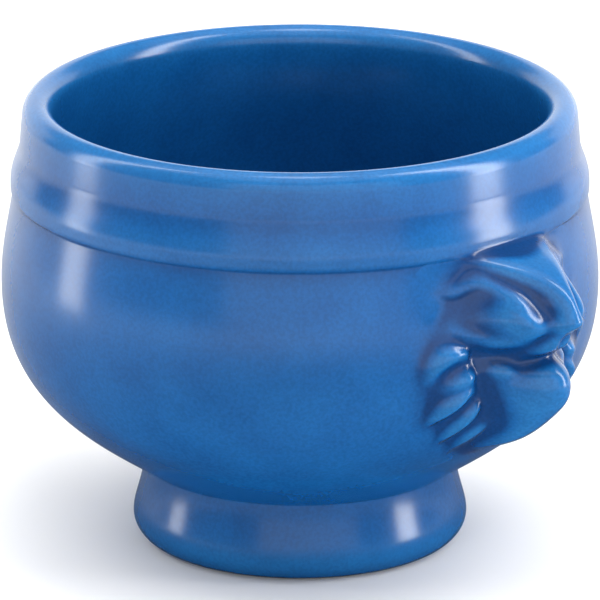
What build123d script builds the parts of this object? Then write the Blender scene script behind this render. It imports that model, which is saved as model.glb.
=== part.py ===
from build123d import *
from math import cos, exp, hypot, pi, radians, sin, sqrt
import os

# Lion-head soup bowl on a foot, standing on z = 0, with the two heads on the X axis. Millimetres.

# Radii of the bowl's outside
BELLY_RADIUS = 60.0
SHOULDER_TAPER = 2.4      # from the belly in to the ledge below the band
BAND_STEP = 0.45          # the band stands this far out of the wall below it
NECK_STEP = 1.95          # from the band in to the neck above it
LIP_TAPER = 0.4           # from the neck in to the lip
SEAT_RADIUS = 31.4        # groove where the bowl meets its foot

# Heights of the bowl, each from the one before
SEAT_HEIGHT = 16.3
BELLY_RISE = 38.1
SHOULDER_RISE = 18.6
BAND_EDGE_RISE = 1.0      # rounded lower edge of the band
BAND_RISE = 1.2           # straight part of the band
NECK_RISE = 8.6
LIP_RISE = 4.6
LIP_CROWN = 3.6

# Thickness and floor of the bowl
WALL = 4.8
LIP_WIDTH = 6.1
FLOOR = 5.2
FLOOR_FLAT_RADIUS = 15.0
UNDERSIDE_SLOPE = 34.4    # degrees above level, at the groove
UNDERSIDE_DROP = 4.6      # from the groove down to the flat underside
UNDERSIDE_FLAT_RADIUS = 17.0

# Fullness of the bowl's curves: how far each curve keeps its end's direction
BELLY_HANDLE = 22.6
SEAT_HANDLE = 15.6
WELL_HANDLE = 13.0        # inside, above the floor
SHOULDER_HANDLE = 7.0
SHOULDER_LEAN = 8.5       # degrees inwards, at the ledge
NECK_HANDLE = 3.4
MOUTH_HANDLE = 12.0

# Foot ring
FOOT_RADIUS = 33.6
FOOT_BULGE_HEIGHT = 5.6
STAND_RADIUS = 27.2       # outer edge of the flat standing ring
BORE_RADIUS = 24.5
BORE_ROUND = 1.0
FLANK_HANDLE = 2.6
FLANK_LEAN = 6.5          # degrees inwards, at the groove
FLANK_SEAT_HANDLE = 5.3

# Lion heads: size over the mane, and how far the nose stands out of the wall
HEAD_WIDTH = 45.2
HEAD_HEIGHT = 42.5
HEAD_REACH = 18.6
HEAD_ROOT = 40.0          # depth of clay drawn behind the face before it is cut to the wall

QUARTER = 0.5523          # handle of a curve that draws a quarter of an ellipse

# Size at which the lion's face below is drawn: across, down, rise. Its points are (across, down).
DRAWN_SIZE = (45.2, 42.5, 18.6)
DRAWN_BORDER = (4.5, 4.5) # drawn beyond the mane on each side, and above and below, where it stays inside the wall
DRAWN_STEPS = (54, 52)    # steps across and down between the points that the face goes through
MANE_MIDDLE = (0.0, 21.0)
MANE_POWERS = (3.0, 2.0)  # squareness of the mane's outline above and below its middle
MANE_SQUARENESS = 9
SUNK = 3.0                # how far the border lies inside the wall

# Tables along the middle line, each as (down, value): rise of mane and face, and the face's section
MANE_RISE = ((-6.0, 0.5), (6.0, 0.8), (15.0, 2.0), (50.0, 2.0))
PROFILE = (
    (-6.0, -9.0), (-1.2, -2.8), (-0.4, 2.4), (0.4, 6.6), (1.4, 10.0), (3.0, 13.2), (5.0, 15.7), (7.0, 17.2),
    (9.5, 18.1), (11.2, 18.6), (12.4, 17.8), (13.8, 15.0), (15.4, 13.9), (17.4, 12.6), (20.2, 10.8),
    (23.0, 13.6), (25.0, 14.7), (27.0, 14.8), (29.5, 14.2), (31.5, 13.0), (34.3, 11.2), (36.5, 9.7),
    (39.2, 7.4), (41.5, 4.0), (43.5, 1.0), (46.0, -3.0), (50.0, -6.0),
)
FACE_HALF_WIDTH = (
    (-6.0, 11.5), (0.0, 10.8), (1.5, 9.8), (3.0, 8.6), (5.0, 6.6), (7.0, 4.9), (9.0, 4.2), (12.0, 4.0),
    (14.0, 4.6), (16.0, 6.8), (20.0, 8.8), (25.0, 9.0), (31.0, 8.2), (39.0, 6.5), (50.0, 5.0),
)
FACE_POWER = (
    (-6.0, 6.0), (0.0, 4.4), (3.0, 3.0), (5.0, 2.7), (8.0, 3.2), (12.0, 4.0), (16.0, 2.8), (20.0, 2.0),
    (22.5, 1.9), (26.0, 2.3), (31.0, 2.7), (50.0, 2.6),
)

# Locks of the mane, then ridges and valleys of the face: start, bend, end, half width, rise
LOCKS = (
    ((13.6, 18.4), (20.8, 16.2), (21.4, 23.6), 2.9, 3.0),
    ((11.6, 22.6), (15.2, 22.8), (18.4, 25.8), 2.2, 2.8),
    ((12.8, 25.6), (17.2, 27.6), (19.6, 34.0), 2.7, 3.6),
    ((10.2, 28.8), (13.6, 31.6), (14.6, 39.0), 2.4, 3.4),
    ((6.8, 32.8), (10.8, 35.0), (9.4, 42.0), 2.4, 3.0),
    ((3.6, 37.0), (5.6, 39.2), (3.4, 43.0), 1.9, 2.0),
)
FOLDS = (
    ((18.0, 5.8), (15.2, 7.0), (12.4, 4.4), 1.6, 1.0),      # outer eyelid
    ((13.6, 4.8), (10.2, 2.2), (7.4, 7.6), 1.8, 1.5),       # inner eyelid
    ((15.2, 4.2), (12.2, 2.6), (9.6, 0.8), 1.4, -1.0),      # crease over the eye
    ((4.4, 7.0), (3.8, 9.6), (4.2, 13.0), 1.3, -0.4),       # side of the nose
    ((16.8, 12.8), (10.4, 17.8), (4.4, 15.8), 2.0, 1.6),    # upper lip
    ((13.6, 17.8), (9.5, 20.0), (4.6, 19.0), 2.3, -1.2),    # under the upper lip
    ((10.6, 22.8), (8.4, 21.2), (6.0, 22.6), 2.0, 1.5),     # corner of the lower lip
    ((12.8, 16.8), (11.2, 27.0), (5.4, 36.0), 2.4, -1.8),   # between jaw and mane
)
STROKE_PARTS = 14
STROKE_TIP = 0.45         # share of its width that a stroke keeps at its ends

# Bumps and hollows: middle, half axes, turn in degrees, rise, squareness
BUMPS = (
    ((8.4, 2.2), (2.6, 1.0), -20.0, -1.2, 2.6),     # under the brow
    ((12.2, 7.6), (3.4, 1.7), 15.0, -1.5, 2.6),     # eye hollow
    ((18.6, 8.8), (1.5, 2.6), -15.0, -1.4, 3.0),    # behind the cheek
    ((3.2, 12.0), (1.5, 1.2), 0.0, 1.2, 3.0),       # wing of the nose
    ((2.5, 15.8), (1.1, 1.7), 0.0, 0.9, 3.0),       # lip under the nose
    ((3.9, 16.0), (0.7, 1.5), 0.0, -0.8, 3.0),      # notch beside it
    ((0.0, 16.6), (0.9, 2.0), 0.0, -1.2, 3.0),      # groove from nose to lip
)
WHISKER_PAD = ((5.2, 10.6), (6.4, 6.8), 10.0, 15.6, 2.4)
WHISKER_CAP = (
    (-6.0, -9.0), (-1.2, -3.0), (0.5, 4.0), (4.0, 8.2), (6.0, 9.8), (9.0, 11.8), (12.0, 13.3), (13.4, 13.2),
    (15.4, 11.0), (18.0, 8.0), (24.0, 4.0),
)

# Mouth: its middle and arch, then bands along it as (down from the mouth, half height, half width, rise)
MOUTH = (19.6, 0.06)
LIP_BANDS = ((0.0, 1.0, 6.0, -2.4), (-2.2, 1.0, 4.6, 0.5), (2.4, 1.2, 4.6, 0.5))
LIP_SQUARENESS = 8

# Rounding where the face meets the mane, the cheek meets the face, and the cheek meets its flat top
BLENDS = (3.0, 2.4, 1.2)
HALVINGS = 40             # steps of the search for the wall's radius


def toward(point, angle, distance):
    """Point at a distance from another, the angle in degrees above level, pointing outwards."""
    return point + Vector(cos(radians(angle)), sin(radians(angle))) * distance


def quarter(start, corner, end):
    """Quarter of an ellipse from start to end, whose end tangents meet at the corner."""
    return Bezier(start, start + (corner - start) * QUARTER, end + (corner - end) * QUARTER, end)


# Points of the bowl's outside, as (radius, height)
seat = Vector(SEAT_RADIUS, SEAT_HEIGHT)
belly = Vector(BELLY_RADIUS, seat.Y + BELLY_RISE)
ledge = Vector(BELLY_RADIUS - SHOULDER_TAPER, belly.Y + SHOULDER_RISE)
band_low = ledge + Vector(BAND_STEP, BAND_EDGE_RISE)
band_top = band_low + Vector(0, BAND_RISE)
neck = band_top + Vector(-NECK_STEP, NECK_RISE)
lip_outside = neck + Vector(-LIP_TAPER, LIP_RISE)
lip_inside = lip_outside - Vector(LIP_WIDTH, 0)
crown = (lip_outside + lip_inside) * 0.5 + Vector(0, LIP_CROWN)
underside = Vector(UNDERSIDE_FLAT_RADIUS, seat.Y - UNDERSIDE_DROP)
lower_wall = (belly, belly - Vector(0, BELLY_HANDLE), toward(seat, UNDERSIDE_SLOPE, SEAT_HANDLE), seat)
upper_wall = (
    belly,
    belly + Vector(0, SHOULDER_HANDLE),
    toward(ledge, SHOULDER_LEAN - 90, SHOULDER_HANDLE),
    ledge,
)


def outside_face():
    """Half section of the bowl as if it were full, from the axis to its outside."""
    underside_corner = toward(seat, UNDERSIDE_SLOPE, -UNDERSIDE_DROP / sin(radians(UNDERSIDE_SLOPE)))
    edges = [
        Line((0, underside.Y), underside),
        quarter(underside, underside_corner, seat),
        Bezier(*reversed(lower_wall)),
        Bezier(*upper_wall),
        quarter(ledge, Vector(band_low.X, ledge.Y), band_low),
        Line(band_low, band_top),
        Bezier(band_top, band_top + Vector(0, NECK_HANDLE), neck - Vector(0, NECK_HANDLE), neck),
        Line(neck, lip_outside),
        quarter(lip_outside, Vector(lip_outside.X, crown.Y), crown),
        Line(crown, (0, crown.Y)),
        Line((0, crown.Y), (0, underside.Y)),
    ]
    return make_face(edges)


def inside_face():
    """Half section of the space inside the bowl, up past its crown."""
    inner_belly = belly - Vector(WALL, 0)
    well = toward(seat, UNDERSIDE_SLOPE + 90, WALL)
    floor = Vector(FLOOR_FLAT_RADIUS, underside.Y + FLOOR)
    floor_corner = toward(well, UNDERSIDE_SLOPE, -(well.Y - floor.Y) / sin(radians(UNDERSIDE_SLOPE)))
    edges = [
        Line((0, floor.Y), floor),
        quarter(floor, floor_corner, well),
        Bezier(well, toward(well, UNDERSIDE_SLOPE, WELL_HANDLE), inner_belly - Vector(0, BELLY_HANDLE), inner_belly),
        Bezier(inner_belly, inner_belly + Vector(0, MOUTH_HANDLE), lip_inside - Vector(0, MOUTH_HANDLE), lip_inside),
        quarter(lip_inside, Vector(lip_inside.X, crown.Y), crown),
        Line(crown, (0, crown.Y)),
        Line((0, crown.Y), (0, floor.Y)),
    ]
    return make_face(edges)


def foot_face():
    """Half section of the foot ring, reaching up into the bowl's underside."""
    bulge = Vector(FOOT_RADIUS, FOOT_BULGE_HEIGHT)
    stand = Vector(STAND_RADIUS, 0)
    bore_low = Vector(BORE_RADIUS, BORE_ROUND)
    stand_inner = Vector(BORE_RADIUS + BORE_ROUND, 0)
    bore_top = Vector(BORE_RADIUS, seat.Y)
    flank = toward(seat, FLANK_LEAN - 90, FLANK_SEAT_HANDLE)
    edges = [
        Line(stand_inner, stand),
        quarter(stand, Vector(bulge.X, stand.Y), bulge),
        Bezier(bulge, bulge + Vector(0, FLANK_HANDLE), flank, seat),
        Line(seat, bore_top),
        Line(bore_top, bore_low),
        quarter(bore_low, Vector(bore_low.X, stand_inner.Y), stand_inner),
    ]
    return make_face(edges)


def turned(face):
    """Solid that a half section makes about the upright axis."""
    return revolve(Plane.XZ * face, Axis.Z)


def curve_radius(points, height):
    """Radius of a four-point curve at a height, found by halving."""
    low, high = 0.0, 1.0
    rising = points[3].Y > points[0].Y
    for _ in range(HALVINGS):
        t = (low + high) / 2
        weights = ((1 - t) ** 3, 3 * (1 - t) ** 2 * t, 3 * (1 - t) * t ** 2, t ** 3)
        at = sum((p * w for p, w in zip(points, weights)), Vector(0, 0))
        if (at.Y < height) == rising:
            low = t
        else:
            high = t
    return at.X


def wall_radius(height):
    """Radius of the bowl's wall where a head may lie on it."""
    if height >= ledge.Y:
        return ledge.X
    return curve_radius(upper_wall if height >= belly.Y else lower_wall, height)


def smooth(table, x):
    """Value of a table at x, on a curve through its points that makes no waves between them."""
    gaps = [(b[1] - a[1]) / (b[0] - a[0]) for a, b in zip(table, table[1:])]
    slopes = [gaps[0]] + [2 * a * b / (a + b) if a * b > 0 else 0.0 for a, b in zip(gaps, gaps[1:])] + [gaps[-1]]
    k = max(i for i in range(len(gaps)) if i == 0 or table[i][0] <= x)
    (x0, y0), (x1, y1) = table[k], table[k + 1]
    t = min(max((x - x0) / (x1 - x0), 0.0), 1.0)
    rise = y0 * (1 + 2 * t) * (1 - t) ** 2 + y1 * t * t * (3 - 2 * t)
    return rise + (x1 - x0) * (slopes[k] * t * (1 - t) ** 2 - slopes[k + 1] * t * t * (1 - t))


def pad(distance, power):
    """1 in the middle, a half at distance 1, then towards 0, and squarer for a larger power."""
    return 1 / (1 + abs(distance) ** power)


def blend(a, b, width):
    """The larger of two heights, rounded where they cross."""
    share = min(max(0.5 + 0.5 * (a - b) / width, 0.0), 1.0)
    return b * (1 - share) + a * share + width * share * (1 - share)


def oval(across, down, middle, axes, turn):
    """Distance from an oval's middle, counted in its own half axes."""
    c, s = cos(radians(turn)), sin(radians(turn))
    x, y = across - middle[0], down - middle[1]
    return hypot((c * x + s * y) / axes[0], (c * y - s * x) / axes[1])


def spine(start, bend, end):
    """Points along a bent line."""
    points = []
    for i in range(STROKE_PARTS + 1):
        t = i / STROKE_PARTS
        points.append([(1 - t) ** 2 * a + 2 * t * (1 - t) * b + t * t * c for a, b, c in zip(start, bend, end)])
    return points


def stroke(across, down, points, half):
    """1 along a bent leaf shape, falling smoothly to 0 at its edge."""
    found = []
    for k, ((x, y), (end_x, end_y)) in enumerate(zip(points, points[1:])):
        length_x, length_y = end_x - x, end_y - y
        share = ((across - x) * length_x + (down - y) * length_y) / (length_x ** 2 + length_y ** 2)
        share = min(max(share, 0.0), 1.0)
        distance = hypot(across - x - share * length_x, down - y - share * length_y)
        found.append((distance, (k + share) / STROKE_PARTS))
    distance, along = min(found)
    full = STROKE_TIP + (1 - STROKE_TIP) * sin(pi * along)
    return full * (1 - min(distance / (half * full), 1.0) ** 2) ** 2


locks = [(spine(*line), half, rise) for *line, half, rise in LOCKS]
folds = [(spine(*line), half, rise) for *line, half, rise in FOLDS]


def face_rise(across, down):
    """How far the drawn lion's face stands out of the wall."""
    width, height, _ = DRAWN_SIZE
    middle = MANE_MIDDLE[1]
    above = down < middle
    power = MANE_POWERS[0] if above else MANE_POWERS[1]
    high = (middle - down) / middle if above else (down - middle) / (height - middle)
    edge = ((across / (width / 2)) ** power + high ** power) ** (1 / power)
    mane = -SUNK + (smooth(MANE_RISE, down) + SUNK) * pad(edge, MANE_SQUARENESS)
    mane += sum(rise * stroke(across, down, points, half) for points, half, rise in locks)
    section = pad(across / smooth(FACE_HALF_WIDTH, down), smooth(FACE_POWER, down))
    face = -SUNK + (smooth(PROFILE, down) + SUNK) * section
    middle, axes, turn, rise, squareness = WHISKER_PAD
    cheek = -SUNK + (rise + SUNK) * pad(oval(across, down, middle, axes, turn), squareness)
    face_blend, cheek_blend, cap_blend = BLENDS
    cheek = -blend(-cheek, -smooth(WHISKER_CAP, down), cap_blend)
    total = blend(blend(mane, face, face_blend), cheek, cheek_blend)
    total += sum(rise * stroke(across, down, points, half) for points, half, rise in folds)
    for middle, axes, turn, rise, squareness in BUMPS:
        total += rise * pad(oval(across, down, middle, axes, turn), squareness)
    mouth_down, arch = MOUTH
    mouth = mouth_down + arch * across ** 2
    for offset, half_high, half_wide, rise in LIP_BANDS:
        band = exp(-((down - mouth - offset) / half_high) ** 2)
        total += rise * band * pad(across / half_wide, LIP_SQUARENESS)
    return total


def spaced(low, high, count):
    """Evenly spaced values from low to high, in a count of steps."""
    return [low + (high - low) * i / count for i in range(count + 1)]


def lion_head(bowl_outside):
    """Head on the +X side: the drawn face at the head's size, with clay behind it, cut to the bowl's wall."""
    drawn_width, drawn_height, drawn_reach = DRAWN_SIZE
    side_border, end_border = DRAWN_BORDER
    steps_across, steps_down = DRAWN_STEPS
    half = drawn_width / 2 + side_border
    downs = spaced(drawn_height + end_border, -end_border, steps_down)
    heights = [ledge.Y - down * HEAD_HEIGHT / drawn_height for down in downs]
    radii = [wall_radius(z) for z in heights]
    even = [i / steps_down for i in range(steps_down + 1)]
    lines = []
    for across in spaced(-half, half, steps_across):
        y = across * HEAD_WIDTH / drawn_width
        points = []
        for down, z, radius in zip(downs, heights, radii):
            rise = face_rise(abs(across), down) * HEAD_REACH / drawn_reach
            points.append(Vector(sqrt(radius ** 2 - y * y) + rise, y, z))
        lines.append(Wire([Edge.make_spline(points, parameters=even)]))
    face = Shell.make_loft(lines).face()
    return Solid.extrude(face, Vector(-HEAD_ROOT, 0, 0)) - bowl_outside


outside = turned(outside_face())
nodes = {
    "bowl_body": turned(outside_face() - inside_face()),
    "foot_ring": turned(foot_face() - outside_face()),
}
nodes["lion_head_right"] = lion_head(outside)
nodes["lion_head_left"] = nodes["lion_head_right"].rotate(Axis.Z, 180)

os.makedirs("parts", exist_ok=True)
for name, solid in nodes.items():
    export_step(solid, f"parts/{name}.step")
    print(name, round(solid.volume / 1000, 1), "ml of clay")
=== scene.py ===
import bpy
import bmesh
import math
import numpy as np
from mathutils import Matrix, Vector


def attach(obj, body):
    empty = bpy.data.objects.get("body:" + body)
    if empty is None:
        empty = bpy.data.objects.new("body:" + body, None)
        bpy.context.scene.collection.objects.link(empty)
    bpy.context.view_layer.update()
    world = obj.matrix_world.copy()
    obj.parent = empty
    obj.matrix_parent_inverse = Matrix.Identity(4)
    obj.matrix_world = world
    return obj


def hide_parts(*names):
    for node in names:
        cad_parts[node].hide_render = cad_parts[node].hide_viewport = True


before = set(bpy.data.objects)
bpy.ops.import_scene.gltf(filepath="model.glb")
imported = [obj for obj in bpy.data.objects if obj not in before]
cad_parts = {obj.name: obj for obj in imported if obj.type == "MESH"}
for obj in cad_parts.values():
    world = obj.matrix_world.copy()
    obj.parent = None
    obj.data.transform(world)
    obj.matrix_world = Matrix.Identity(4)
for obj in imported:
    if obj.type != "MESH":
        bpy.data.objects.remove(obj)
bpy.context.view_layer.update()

# Sizes in millimetres, as in the solids; MM turns them into metres
MM = 0.001

# Bowl outside, as (radius, height)
SEAT = np.array((31.4, 16.3))
BELLY = np.array((60.0, 54.4))
LEDGE = np.array((57.6, 73.0))
BAND_LOW = np.array((58.05, 74.0))
BAND_TOP = np.array((58.05, 75.2))
NECK = np.array((56.1, 83.8))
LIP_OUTSIDE = np.array((55.7, 88.4))
LIP_INSIDE = np.array((49.6, 88.4))
CROWN = np.array((52.65, 92.0))
UNDERSIDE = np.array((17.0, 11.7))
UNDERSIDE_SLOPE = 34.4
BELLY_HANDLE = 22.6
SEAT_HANDLE = 15.6
SHOULDER_HANDLE = 7.0
SHOULDER_LEAN = 8.5
NECK_HANDLE = 3.4

# Bowl inside
WALL = 4.8
FLOOR = np.array((15.0, 16.9))
WELL_HANDLE = 13.0
MOUTH_HANDLE = 12.0

# Foot ring
FOOT_BULGE = np.array((33.6, 5.6))
STAND = np.array((27.2, 0.0))
BORE_RADIUS = 24.5
BORE_ROUND = 1.0
BORE_SINK = 1.2           # how far the bore runs up into the clay above it
FLANK_HANDLE = 2.6
FLANK_LEAN = 6.5
FLANK_SEAT_HANDLE = 5.3

QUARTER = 0.5523          # handle of a curve that draws a quarter of an ellipse
TURNS = 320               # facets round a turned piece
CURVE_POINTS = 40
SECTION_STEP = 0.1
MERGE = 1e-4              # points closer than this are one point

# Lion head, drawn as (across from the middle, down from the ledge, rise out of the wall)
HEAD_WIDTH = 45.2
HEAD_HEIGHT = 42.5
HEAD_MARGIN = 8.0
HEAD_STEP = 0.22
MANE_MIDDLE = 21.0
MANE_POWERS = (3.0, 2.0)  # squareness of the mane's outline above and below its middle
MANE_SQUARENESS = 9
MANE_RISE = ((-6.0, 0.5), (6.0, 0.8), (15.0, 2.0), (50.0, 2.0))
SUNK = 3.0                # how far the border lies inside the wall
GLAZE_FILLET = 1.1        # soft corner where the glaze runs from head to wall
GLAZE_EDGE = 0.004        # the skirt of that corner thins out to this
SKIRT_CUT = 0.006         # and is cut off where it is thinner than this
PROFILE = (
    (-6.0, -9.0), (-1.2, -2.8), (-0.4, 2.4), (0.4, 6.6), (1.4, 10.0), (3.0, 13.2), (5.0, 15.7), (7.0, 17.2),
    (9.5, 18.1), (11.2, 18.6), (12.4, 17.8), (13.8, 15.0), (15.4, 13.9), (17.4, 12.6), (20.2, 10.8),
    (23.0, 13.6), (25.0, 14.7), (27.0, 14.8), (29.5, 14.2), (31.5, 13.0), (34.3, 11.2), (36.5, 9.7),
    (39.2, 7.4), (41.5, 4.0), (43.5, 1.0), (46.0, -3.0), (50.0, -6.0),
)
FACE_HALF_WIDTH = (
    (-6.0, 11.5), (0.0, 10.8), (1.5, 9.8), (3.0, 8.6), (5.0, 6.6), (7.0, 4.9), (9.0, 4.2), (12.0, 4.0),
    (14.0, 4.6), (16.0, 6.8), (20.0, 8.8), (25.0, 9.0), (31.0, 8.2), (39.0, 6.5), (50.0, 5.0),
)
FACE_POWER = (
    (-6.0, 6.0), (0.0, 4.4), (3.0, 3.0), (5.0, 2.7), (8.0, 3.2), (12.0, 4.0), (16.0, 2.8), (20.0, 2.0),
    (22.5, 1.9), (26.0, 2.3), (31.0, 2.7), (50.0, 2.6),
)
# Locks of the mane and folds of the face: start, bend, end, half width, rise
LOCKS = (
    ((13.6, 18.4), (20.8, 16.2), (21.4, 23.6), 2.9, 3.0),
    ((11.6, 22.6), (15.2, 22.8), (18.4, 25.8), 2.2, 2.8),
    ((12.8, 25.6), (17.2, 27.6), (19.6, 34.0), 2.7, 3.6),
    ((10.2, 28.8), (13.6, 31.6), (14.6, 39.0), 2.4, 3.4),
    ((6.8, 32.8), (10.8, 35.0), (9.4, 42.0), 2.4, 3.0),
    ((3.6, 37.0), (5.6, 39.2), (3.4, 43.0), 1.9, 2.0),
)
FOLDS = (
    ((18.0, 5.8), (15.2, 7.0), (12.4, 4.4), 1.6, 1.0),
    ((13.6, 4.8), (10.2, 2.2), (7.4, 7.6), 1.8, 1.5),
    ((15.2, 4.2), (12.2, 2.6), (9.6, 0.8), 1.4, -1.0),
    ((4.4, 7.0), (3.8, 9.6), (4.2, 13.0), 1.3, -0.4),
    ((16.8, 12.8), (10.4, 17.8), (4.4, 15.8), 2.0, 1.6),
    ((13.6, 17.8), (9.5, 20.0), (4.6, 19.0), 2.3, -1.2),
    ((10.6, 22.8), (8.4, 21.2), (6.0, 22.6), 2.0, 1.5),
    ((12.8, 16.8), (11.2, 27.0), (5.4, 36.0), 2.4, -1.8),
)
# Bumps and hollows: middle, half axes, turn in degrees, rise, squareness; the whisker pad has the same
BUMPS = (
    ((8.4, 2.2), (2.6, 1.0), -20.0, -1.2, 2.6),
    ((12.2, 7.6), (3.4, 1.7), 15.0, -1.5, 2.6),
    ((18.6, 8.8), (1.5, 2.6), -15.0, -1.4, 3.0),
    ((3.2, 12.0), (1.5, 1.2), 0.0, 1.2, 3.0),
    ((2.5, 15.8), (1.1, 1.7), 0.0, 0.9, 3.0),
    ((3.9, 16.0), (0.7, 1.5), 0.0, -0.8, 3.0),
    ((0.0, 16.6), (0.9, 2.0), 0.0, -1.2, 3.0),
)
WHISKER_PAD = ((5.2, 10.6), (6.4, 6.8), 10.0, 15.6, 2.4)
WHISKER_CAP = (
    (-6.0, -9.0), (-1.2, -3.0), (0.5, 4.0), (4.0, 8.2), (6.0, 9.8), (9.0, 11.8), (12.0, 13.3), (13.4, 13.2),
    (15.4, 11.0), (18.0, 8.0), (24.0, 4.0),
)
CAP_BLEND = 1.2
MOUTH_DOWN = 19.6
MOUTH_ARCH = 0.06
# Mouth and lips: offset from the mouth line, half height, half width, rise
LIP_BANDS = ((0.0, 1.0, 6.0, -2.4), (-2.2, 1.0, 4.6, 0.5), (2.4, 1.2, 4.6, 0.5))
LIP_SQUARENESS = 8
MANE_BLEND = 3.0
PAD_BLEND = 2.4
STROKE_PARTS = 14
STROKE_TIP = 0.45         # width and rise of a stroke at its ends, as a share of its middle
BELL_REACHES = 3          # reaches at which a bell curve is cut off
SOFTNESS = 0.8            # how far the thick glaze rounds the face
POOL_REACH = 1.8          # how far round a point the glaze runs together in hollows, and the painted shade with it
HEAD_POOL_AND_SHADE = 0.15          # how much deeper it lies on the heads, which darkens them all over as painted shade
POOL_AND_SHADE_FADE = 0.6           # rise over which the pooling and its painted shade fade out on the skirt
POOL_AND_SHADE_DEPTH = 1.15         # from thinnest glaze on a ridge to deepest in a hollow, painted lighter and darker as light and shade
POOL_AND_SHADE_NAME = "pool_and_shade"        # where each point notes that depth, which also sets its painted light and shade
CLAY_HEIGHT = 0.18        # the standing ring is wiped bare of glaze up to here
GLAZED_HEIGHT = 0.3       # and fully glazed from here

# Looks: noise as (scale, detail), and colours along a value as (place, colour)
GLAZE_IOR = 1.5
GLAZE_ROUGHNESS = 0.2
MOTTLE = (90.0, 4.0)
MOTTLE_TONES = ((0.3, (0.003, 0.068, 0.232)), (0.7, (0.004, 0.084, 0.272)))
SPECKLE = (1400.0, 2.0)
SPECKLE_TONES = ((0.35, (0.88, 0.88, 0.88)), (0.65, (1.06, 1.06, 1.06)))
# Glaze pooling with painted light and shade: lighter on ridges, darker in hollows
POOL_AND_SHADE_TONES = ((0.1, (3.0, 1.55, 1.3)), (0.5, (1.0, 1.0, 1.0)), (0.9, (0.5, 0.45, 0.54)))
CLAY_COLOUR = (0.62, 0.54, 0.43)
CLAY_ROUGHNESS = 0.8

# Set, in metres: white paper, and a dark sheet in front of the bowl seen only in the glaze, a painted
# reflection of shade on the floor close by
MATT = 0.9
PAPER_SIZE = 60.0
PAPER_COLOUR = (0.9, 0.9, 0.9)
REFLECTED_SHADE_AZIMUTH = 20.0
REFLECTED_SHADE_DISTANCE = 0.1
REFLECTED_SHADE_HEIGHT = 0.0004
REFLECTED_SHADE_DARK_RADIUS = 0.09   # from here its tone rises to the second one at its edge
REFLECTED_SHADE_RADIUS = 0.5
REFLECTED_SHADE_TONES = (0.05, 0.85)
REFLECTED_SHADE_FACETS = 96

# Upright lights: azimuth from the camera's, distance, low edge, high edge, width, radiance, mirrored
PANELS = {
    "left_strip": (-92, 0.42, 0.0, 1.1, 0.09, 6.5, True),
    "right_strip": (77, 0.42, 0.0, 1.1, 0.11, 11, True),
    "front_card": (6, 0.45, 0.045, 0.4, 0.6, 0.65, True),
    "front_fill": (0, 1.2, 0.0, 1.0, 1.6, 1.4, False),
    "back_card": (180, 0.9, 0.0, 0.6, 2.4, 1.2, True),
}
# Level lights above the bowl: height, width, radiance, mirrored
OVERHEADS = {
    "top_box": (1.6, 2.0, 1.9, False),
    "top_sheet": (1.5, 2.0, 0.6, True),
    "top_card": (1.0, 0.22, 6, True),
}
WORLD_STRENGTH = 0.25

# Camera
CAMERA_AZIMUTH = 45.0
CAMERA_ELEVATION = 17.3
CAMERA_DISTANCE = 2.5
CAMERA_LENS = 746.0
CAMERA_REACH = 50
AIM = Vector((0, 0, 0.0495))


def toward(point, angle, distance):
    """Point at a distance from another, the angle in degrees above level, pointing outwards."""
    return point + distance * np.array((math.cos(math.radians(angle)), math.sin(math.radians(angle))))


def bezier(start, first, second, end):
    """Points along a four-point curve."""
    t = np.linspace(0, 1, CURVE_POINTS)[:, None]
    return (1 - t) ** 3 * start + 3 * (1 - t) ** 2 * t * first + 3 * (1 - t) * t ** 2 * second + t ** 3 * end


def quarter(start, corner, end):
    """Quarter of an ellipse from start to end, whose end tangents meet at the corner."""
    return bezier(start, start + (corner - start) * QUARTER, end + (corner - end) * QUARTER, end)


def up(distance):
    """Step straight up."""
    return np.array((0.0, distance))


def joined(*curves):
    """Curves one after another, without the points that repeat."""
    points = np.vstack(curves)
    keep = np.r_[True, np.linalg.norm(np.diff(points, axis=0), axis=1) > MERGE]
    return points[keep]


def outer_wall():
    """Outside of the bowl from the groove up to the crown."""
    return joined(
        bezier(SEAT, toward(SEAT, UNDERSIDE_SLOPE, SEAT_HANDLE), BELLY - up(BELLY_HANDLE), BELLY),
        bezier(BELLY, BELLY + up(SHOULDER_HANDLE), toward(LEDGE, SHOULDER_LEAN - 90, SHOULDER_HANDLE), LEDGE),
        quarter(LEDGE, np.array((BAND_LOW[0], LEDGE[1])), BAND_LOW),
        bezier(BAND_TOP, BAND_TOP + up(NECK_HANDLE), NECK - up(NECK_HANDLE), NECK),
        quarter(LIP_OUTSIDE, np.array((LIP_OUTSIDE[0], CROWN[1])), CROWN),
    )


def bowl_profile():
    """Whole section of the bowl, from the axis below to the axis above."""
    corner = toward(SEAT, UNDERSIDE_SLOPE, -(SEAT - UNDERSIDE)[1] / math.sin(math.radians(UNDERSIDE_SLOPE)))
    inner_belly = BELLY - np.array((WALL, 0))
    well = toward(SEAT, UNDERSIDE_SLOPE + 90, WALL)
    floor_corner = toward(well, UNDERSIDE_SLOPE, -(well - FLOOR)[1] / math.sin(math.radians(UNDERSIDE_SLOPE)))
    return joined(
        np.array(((0.0, UNDERSIDE[1]),)),
        quarter(UNDERSIDE, corner, SEAT),
        outer_wall(),
        quarter(LIP_INSIDE, np.array((LIP_INSIDE[0], CROWN[1])), CROWN)[::-1],
        bezier(LIP_INSIDE, LIP_INSIDE - up(MOUTH_HANDLE), inner_belly + up(MOUTH_HANDLE), inner_belly),
        bezier(inner_belly, inner_belly - up(BELLY_HANDLE), toward(well, UNDERSIDE_SLOPE, WELL_HANDLE), well),
        quarter(well, floor_corner, FLOOR),
        np.array(((0.0, FLOOR[1]),)),
    )


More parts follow.
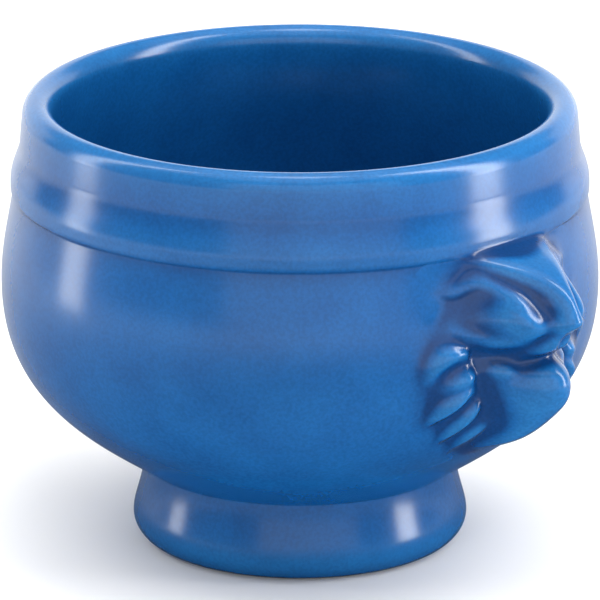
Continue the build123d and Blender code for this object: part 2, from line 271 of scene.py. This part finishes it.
def foot_profile():
    """Section of the foot ring, closed where it meets the underside."""
    bore_low = np.array((BORE_RADIUS, BORE_ROUND))
    stand_inner = np.array((BORE_RADIUS + BORE_ROUND, 0.0))
    bore_top = np.array((BORE_RADIUS, UNDERSIDE[1] + BORE_SINK))
    flank = toward(SEAT, FLANK_LEAN - 90, FLANK_SEAT_HANDLE)
    return joined(
        bore_top[None],
        quarter(bore_low, np.array((BORE_RADIUS, 0.0)), stand_inner),
        quarter(STAND, np.array((FOOT_BULGE[0], 0.0)), FOOT_BULGE),
        bezier(FOOT_BULGE, FOOT_BULGE + up(FLANK_HANDLE), flank, SEAT),
    )


def new_object(name, vertices, faces):
    """Smooth object from points in millimetres."""
    mesh = bpy.data.meshes.new(name)
    mesh.from_pydata((np.asarray(vertices) * MM).tolist(), [], faces)
    mesh.shade_smooth()
    obj = bpy.data.objects.new(name, mesh)
    bpy.context.scene.collection.objects.link(obj)
    return obj


def section_hollow(profile):
    """How deep each point of a section lies under the curve that smooths it."""
    lengths = np.r_[0, np.cumsum(np.linalg.norm(np.diff(profile, axis=0), axis=1))]
    even = np.arange(0, lengths[-1], SECTION_STEP)
    curve = np.column_stack([np.interp(even, lengths, profile[:, k]) for k in (0, 1)])
    rounded = np.column_stack([softened(curve[:, k], SECTION_STEP, POOL_REACH) for k in (0, 1)])
    tangent = np.gradient(curve, axis=0) / SECTION_STEP
    offset = (rounded - curve)[:, 0] * tangent[:, 1] - (rounded - curve)[:, 1] * tangent[:, 0]
    return np.interp(lengths, even, offset)


def lathe(name, profile):
    """Turned object from a section, its points on the axis merged."""
    angles = np.linspace(0, 2 * math.pi, TURNS, endpoint=False)
    rings = [np.column_stack((r * np.cos(angles), r * np.sin(angles), np.full(TURNS, z))) for r, z in profile]
    faces = []
    for ring in range(len(profile) - 1):
        for i in range(TURNS):
            a, b = ring * TURNS + i, ring * TURNS + (i + 1) % TURNS
            faces.append((a, b, b + TURNS, a + TURNS))
    obj = new_object(name, np.vstack(rings), faces)
    # painted shade in the section's hollows and painted light on its crests, along with the pooled glaze
    note_pool_and_shade(obj, np.repeat(section_hollow(profile), TURNS))
    work = bmesh.new()
    work.from_mesh(obj.data)
    bmesh.ops.remove_doubles(work, verts=work.verts, dist=MERGE * MM)
    work.to_mesh(obj.data)
    work.free()
    return obj


def smooth(table, x):
    """Values of a table at x, on a curve through its points that makes no waves between them."""
    xs, ys = np.array(table).T
    gaps = np.diff(ys) / np.diff(xs)
    product, total = gaps[:-1] * gaps[1:], gaps[:-1] + gaps[1:]
    inner = np.where(product > 0, 2 * product / np.where(total == 0, 1, total), 0)
    slopes = np.r_[gaps[0], inner, gaps[-1]]
    k = np.clip(np.searchsorted(xs, x, "right") - 1, 0, len(gaps) - 1)
    width = xs[k + 1] - xs[k]
    t = np.clip((x - xs[k]) / width, 0, 1)
    rise = ys[k] * (1 + 2 * t) * (1 - t) ** 2 + ys[k + 1] * t * t * (3 - 2 * t)
    return rise + width * (slopes[k] * t * (1 - t) ** 2 - slopes[k + 1] * t * t * (1 - t))


def pad(distance, power):
    """1 in the middle, a half at distance 1, then towards 0, and squarer for a larger power."""
    return 1 / (1 + np.abs(distance) ** power)


def blend(a, b, width):
    """The larger of two heights, rounded where they cross."""
    share = np.clip(0.5 + 0.5 * (a - b) / width, 0, 1)
    return b * (1 - share) + a * share + width * share * (1 - share)


def oval(across, down, middle, axes, turn):
    """Distance from an oval's middle, counted in its own half axes."""
    c, s = math.cos(math.radians(turn)), math.sin(math.radians(turn))
    x, y = across - middle[0], down - middle[1]
    return np.hypot((c * x + s * y) / axes[0], (c * y - s * x) / axes[1])


def stroke(across, down, start, bend, end, half):
    """1 along a bent leaf shape, falling smoothly to 0 at its edge."""
    start, bend, end = np.array(start), np.array(bend), np.array(end)
    steps = np.linspace(0, 1, STROKE_PARTS + 1)[:, None]
    spine = (1 - steps) ** 2 * start + 2 * steps * (1 - steps) * bend + steps ** 2 * end
    nearest = np.full_like(across, np.inf)
    along = np.zeros_like(across)
    for k, (a, b) in enumerate(zip(spine, spine[1:])):
        x, y = across - a[0], down - a[1]
        share = np.clip((x * (b - a)[0] + y * (b - a)[1]) / ((b - a) ** 2).sum(), 0, 1)
        distance = np.hypot(x - share * (b - a)[0], y - share * (b - a)[1])
        closer = distance < nearest
        nearest = np.where(closer, distance, nearest)
        along = np.where(closer, (k + share) / STROKE_PARTS, along)
    full = STROKE_TIP + (1 - STROKE_TIP) * np.sin(math.pi * along)
    return full * (1 - np.minimum(nearest / (half * full), 1) ** 2) ** 2


def face_rise(across, down):
    """How far the lion's face stands out of the wall."""
    above = down < MANE_MIDDLE
    power = np.where(above, *MANE_POWERS)
    half_height = np.where(above, MANE_MIDDLE, HEAD_HEIGHT - MANE_MIDDLE)
    wide, high = across / (HEAD_WIDTH / 2), np.abs(down - MANE_MIDDLE) / half_height
    edge = (wide ** power + high ** power) ** (1 / power)
    mane = -SUNK + (smooth(MANE_RISE, down) + SUNK) * pad(edge, MANE_SQUARENESS)
    for *shape, rise in LOCKS:
        mane += rise * stroke(across, down, *shape)
    section = pad(across / smooth(FACE_HALF_WIDTH, down), smooth(FACE_POWER, down))
    face = -SUNK + (smooth(PROFILE, down) + SUNK) * section
    height = blend(mane, face, MANE_BLEND)
    middle, axes, turn, rise, squareness = WHISKER_PAD
    cheek = -SUNK + (rise + SUNK) * pad(oval(across, down, middle, axes, turn), squareness)
    height = blend(height, -blend(-cheek, -smooth(WHISKER_CAP, down), CAP_BLEND), PAD_BLEND)
    for *shape, rise in FOLDS:
        height += rise * stroke(across, down, *shape)
    for middle, axes, turn, rise, squareness in BUMPS:
        height += rise * pad(oval(across, down, middle, axes, turn), squareness)
    mouth = MOUTH_DOWN + MOUTH_ARCH * across ** 2
    for offset, half_high, half_wide, rise in LIP_BANDS:
        band = np.exp(-((down - mouth - offset) / half_high) ** 2)
        height += rise * band * pad(across / half_wide, LIP_SQUARENESS)
    return height


def softened(height, step, reach):
    """Heights on a grid with their corners rounded within a reach."""
    count = int(BELL_REACHES * reach / step)
    weights = np.exp(-0.5 * (np.arange(-count, count + 1) * step / reach) ** 2)
    weights /= weights.sum()
    for axis in range(height.ndim):
        border = [(0, 0)] * height.ndim
        border[axis] = (count, count)
        padded = np.pad(height, border, mode="edge")
        shifts = [np.take(padded, range(i, i + height.shape[axis]), axis) for i in range(2 * count + 1)]
        height = sum(w * s for w, s in zip(weights, shifts))
    return height


def note_pool_and_shade(obj, hollow):
    """Notes on each point how deep the glaze lies there, a half on plain wall; this depth paints shade in
    hollows and light on ridges.
    """
    values = np.clip(0.5 + np.ravel(hollow) / POOL_AND_SHADE_DEPTH, 0, 1)
    obj.data.attributes.new(POOL_AND_SHADE_NAME, "FLOAT", "POINT").data.foreach_set("value", values)


def lion_head(name, side):
    """Head on the +X side, or turned half round for the -X side, with a skirt that runs into the wall."""
    wall = outer_wall()
    half = HEAD_WIDTH / 2 + HEAD_MARGIN
    ys = np.arange(-half, half + HEAD_STEP, HEAD_STEP)
    zs = np.arange(LEDGE[1] - HEAD_HEIGHT - HEAD_MARGIN, LEDGE[1] + HEAD_MARGIN + HEAD_STEP, HEAD_STEP)
    y, z = np.meshgrid(ys, zs, indexing="ij")
    rise = softened(face_rise(np.abs(y), LEDGE[1] - z), HEAD_STEP, SOFTNESS)
    rise = blend(rise, np.full_like(y, GLAZE_EDGE), GLAZE_FILLET)
    # painted shade in the relief's hollows and painted light on its ridges, along with pooled glaze; the
    # whole head is painted a little darker
    hollow = softened(rise, HEAD_STEP, POOL_REACH) - rise + HEAD_POOL_AND_SHADE
    hollow *= np.clip((rise - GLAZE_EDGE) / POOL_AND_SHADE_FADE, 0, 1)
    x = np.sqrt(np.interp(z, wall[:, 1], wall[:, 0]) ** 2 - y ** 2) + rise
    shown = rise > SKIRT_CUT
    number = np.arange(y.size).reshape(y.shape)
    corners = np.stack((number[:-1, :-1], number[1:, :-1], number[1:, 1:], number[:-1, 1:]), axis=-1)
    kept = shown[:-1, :-1] | shown[1:, :-1] | shown[1:, 1:] | shown[:-1, 1:]
    used, flat = np.unique(corners[kept], return_inverse=True)
    points = np.column_stack((side * x.ravel(), side * y.ravel(), z.ravel()))[used]
    obj = new_object(name, points, flat.reshape(-1, 4).tolist())
    note_pool_and_shade(obj, hollow.ravel()[used])
    return obj


def new_material(name):
    """Material with its node tree and its shader."""
    material = bpy.data.materials.new(name)
    material.use_nodes = True
    return material, material.node_tree, material.node_tree.nodes["Principled BSDF"]


def noise(tree, place, scale, detail):
    """Even noise from 0 to 1 over a place."""
    node = tree.nodes.new("ShaderNodeTexNoise")
    node.inputs["Scale"].default_value = scale
    node.inputs["Detail"].default_value = detail
    tree.links.new(place, node.inputs["Vector"])
    return node.outputs["Fac"]


def ramp(tree, value, tones):
    """Colours along a value, each tone a place and a colour."""
    node = tree.nodes.new("ShaderNodeValToRGB")
    elements = node.color_ramp.elements
    for k in (0, -1):
        elements[k].position = tones[k][0]
        elements[k].color = (*tones[k][1], 1)
    for place, colour in tones[1:-1]:
        elements.new(place).color = (*colour, 1)
    tree.links.new(value, node.inputs["Fac"])
    return node.outputs["Color"]


def ranged(tree, value, before, after):
    """A value carried from one range to another, and held at the ends."""
    node = tree.nodes.new("ShaderNodeMapRange")
    node.inputs["From Min"].default_value, node.inputs["From Max"].default_value = before
    node.inputs["To Min"].default_value, node.inputs["To Max"].default_value = after
    tree.links.new(value, node.inputs["Value"])
    return node.outputs["Result"]


def multiplied(tree, first, second):
    """Product of two colours."""
    node = tree.nodes.new("ShaderNodeMix")
    node.data_type = "RGBA"
    node.blend_type = "MULTIPLY"
    node.inputs["Factor"].default_value = 1.0
    tree.links.new(first, node.inputs["A"])
    tree.links.new(second, node.inputs["B"])
    return node.outputs["Result"]


def glaze_material():
    """Glossy blue glaze, mottled and finely speckled, with painted light on ridges and painted shade in
    hollows where the glaze pools, over clay that is bare on the standing ring.
    """
    material, tree, shader = new_material("blue_glaze")
    shader.inputs["IOR"].default_value = GLAZE_IOR
    place = tree.nodes.new("ShaderNodeTexCoord").outputs["Object"]
    mottle = ramp(tree, noise(tree, place, *MOTTLE), MOTTLE_TONES)
    speckle = ramp(tree, noise(tree, place, *SPECKLE), SPECKLE_TONES)
    # painted light and shade from the glaze depth: ridges lighter, hollows darker
    depth = tree.nodes.new("ShaderNodeAttribute")
    depth.attribute_name = POOL_AND_SHADE_NAME
    shade = ramp(tree, depth.outputs["Fac"], POOL_AND_SHADE_TONES)
    spot = tree.nodes.new("ShaderNodeSeparateXYZ")
    tree.links.new(place, spot.inputs["Vector"])
    glazed = ranged(tree, spot.outputs["Z"], (CLAY_HEIGHT * MM, GLAZED_HEIGHT * MM), (0, 1))
    colour = tree.nodes.new("ShaderNodeMix")
    colour.data_type = "RGBA"
    colour.inputs["A"].default_value = (*CLAY_COLOUR, 1)
    tree.links.new(glazed, colour.inputs["Factor"])
    tree.links.new(multiplied(tree, multiplied(tree, mottle, speckle), shade), colour.inputs["B"])
    tree.links.new(colour.outputs["Result"], shader.inputs["Base Color"])
    roughness = ranged(tree, glazed, (0, 1), (CLAY_ROUGHNESS, GLAZE_ROUGHNESS))
    tree.links.new(roughness, shader.inputs["Roughness"])
    return material


def reflected_shade_material():
    """Painted shade seen only in reflections: darkens what the glaze mirrors of the floor close by, and fades
    out further off.
    """
    material, tree, shader = new_material("painted_reflected_shade")
    shader.inputs["Roughness"].default_value = MATT
    place = tree.nodes.new("ShaderNodeTexCoord")
    distance = tree.nodes.new("ShaderNodeVectorMath")
    distance.operation = "LENGTH"
    tree.links.new(place.outputs["Object"], distance.inputs[0])
    tone = ranged(tree, distance.outputs["Value"], (REFLECTED_SHADE_DARK_RADIUS, REFLECTED_SHADE_RADIUS), REFLECTED_SHADE_TONES)
    tree.links.new(tone, shader.inputs["Base Color"])
    return material


def paper_material():
    """Matt white paper of the set."""
    material, _, shader = new_material("white_paper")
    shader.inputs["Base Color"].default_value = (*PAPER_COLOUR, 1)
    shader.inputs["Roughness"].default_value = MATT
    return material


def round_bowl(azimuth, elevation, distance):
    """Place round the bowl: azimuth from the camera's, to the right, both angles in degrees."""
    turn = math.radians(CAMERA_AZIMUTH + azimuth)
    height = math.radians(elevation)
    level = Vector((math.sin(turn), -math.cos(turn), 0)) * math.cos(height)
    return AIM + (level + Vector((0, 0, math.sin(height)))) * distance


def facing(place):
    """Turn that makes a light or a camera at a place look at the bowl."""
    return (AIM - place).to_track_quat("-Z", "Y").to_euler()


def soft_light(name, width, height, radiance, mirrored):
    """Evenly bright rectangle, not seen by the camera."""
    light = bpy.data.lights.new(name, "AREA")
    light.shape = "RECTANGLE"
    light.size, light.size_y = width, height
    light.energy = radiance * math.pi * width * height
    obj = bpy.data.objects.new(name, light)
    obj.visible_camera = False
    obj.visible_glossy = mirrored
    bpy.context.scene.collection.objects.link(obj)
    return obj


glaze = glaze_material()
dressed = {
    "bowl_body": lathe("bowl_glazed", bowl_profile()),
    "foot_ring": lathe("foot_glazed", foot_profile()),
    "lion_head_right": lion_head("lion_glazed_right", 1),
    "lion_head_left": lion_head("lion_glazed_left", -1),
}
for node, piece in dressed.items():
    piece.data.materials.append(glaze)
    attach(piece, "root")
    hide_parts(node)

bpy.ops.mesh.primitive_plane_add(size=PAPER_SIZE)
floor = bpy.context.object
floor.name = "floor"
floor.data.materials.append(paper_material())

# Painted shade in the glaze's reflections: a dark sheet hidden from the camera, from diffuse light and from
# shadows
bpy.ops.mesh.primitive_circle_add(vertices=REFLECTED_SHADE_FACETS, radius=REFLECTED_SHADE_RADIUS, fill_type="NGON")
reflected_shade_sheet = bpy.context.object
reflected_shade_sheet.name = "reflected_shade_sheet"
reflected_shade_sheet.location.xy = round_bowl(REFLECTED_SHADE_AZIMUTH, 0, REFLECTED_SHADE_DISTANCE).xy
reflected_shade_sheet.location.z = REFLECTED_SHADE_HEIGHT
reflected_shade_sheet.data.materials.append(reflected_shade_material())
reflected_shade_sheet.visible_camera = False
reflected_shade_sheet.visible_diffuse = False
reflected_shade_sheet.visible_shadow = False

world = bpy.data.worlds.new("studio")
bpy.context.scene.world = world
world.use_nodes = True
background = world.node_tree.nodes["Background"]
background.inputs["Color"].default_value = (1, 1, 1, 1)
background.inputs["Strength"].default_value = WORLD_STRENGTH
for name, (azimuth, distance, low, high, width, radiance, mirrored) in PANELS.items():
    panel = soft_light(name, width, high - low, radiance, mirrored)
    panel.location = round_bowl(azimuth, 0, distance)
    panel.rotation_euler = facing(panel.location)
    panel.location.z = (low + high) / 2
for name, (height, width, radiance, mirrored) in OVERHEADS.items():
    soft_light(name, width, width, radiance, mirrored).location.z = height

camera_data = bpy.data.cameras.new("camera")
camera_data.lens = CAMERA_LENS
camera_data.clip_end = CAMERA_REACH
camera = bpy.data.objects.new("camera", camera_data)
camera.location = round_bowl(0, CAMERA_ELEVATION, CAMERA_DISTANCE)
camera.rotation_euler = facing(camera.location)
bpy.context.scene.collection.objects.link(camera)
bpy.context.scene.camera = camera
bpy.context.scene.view_settings.view_transform = "Standard"
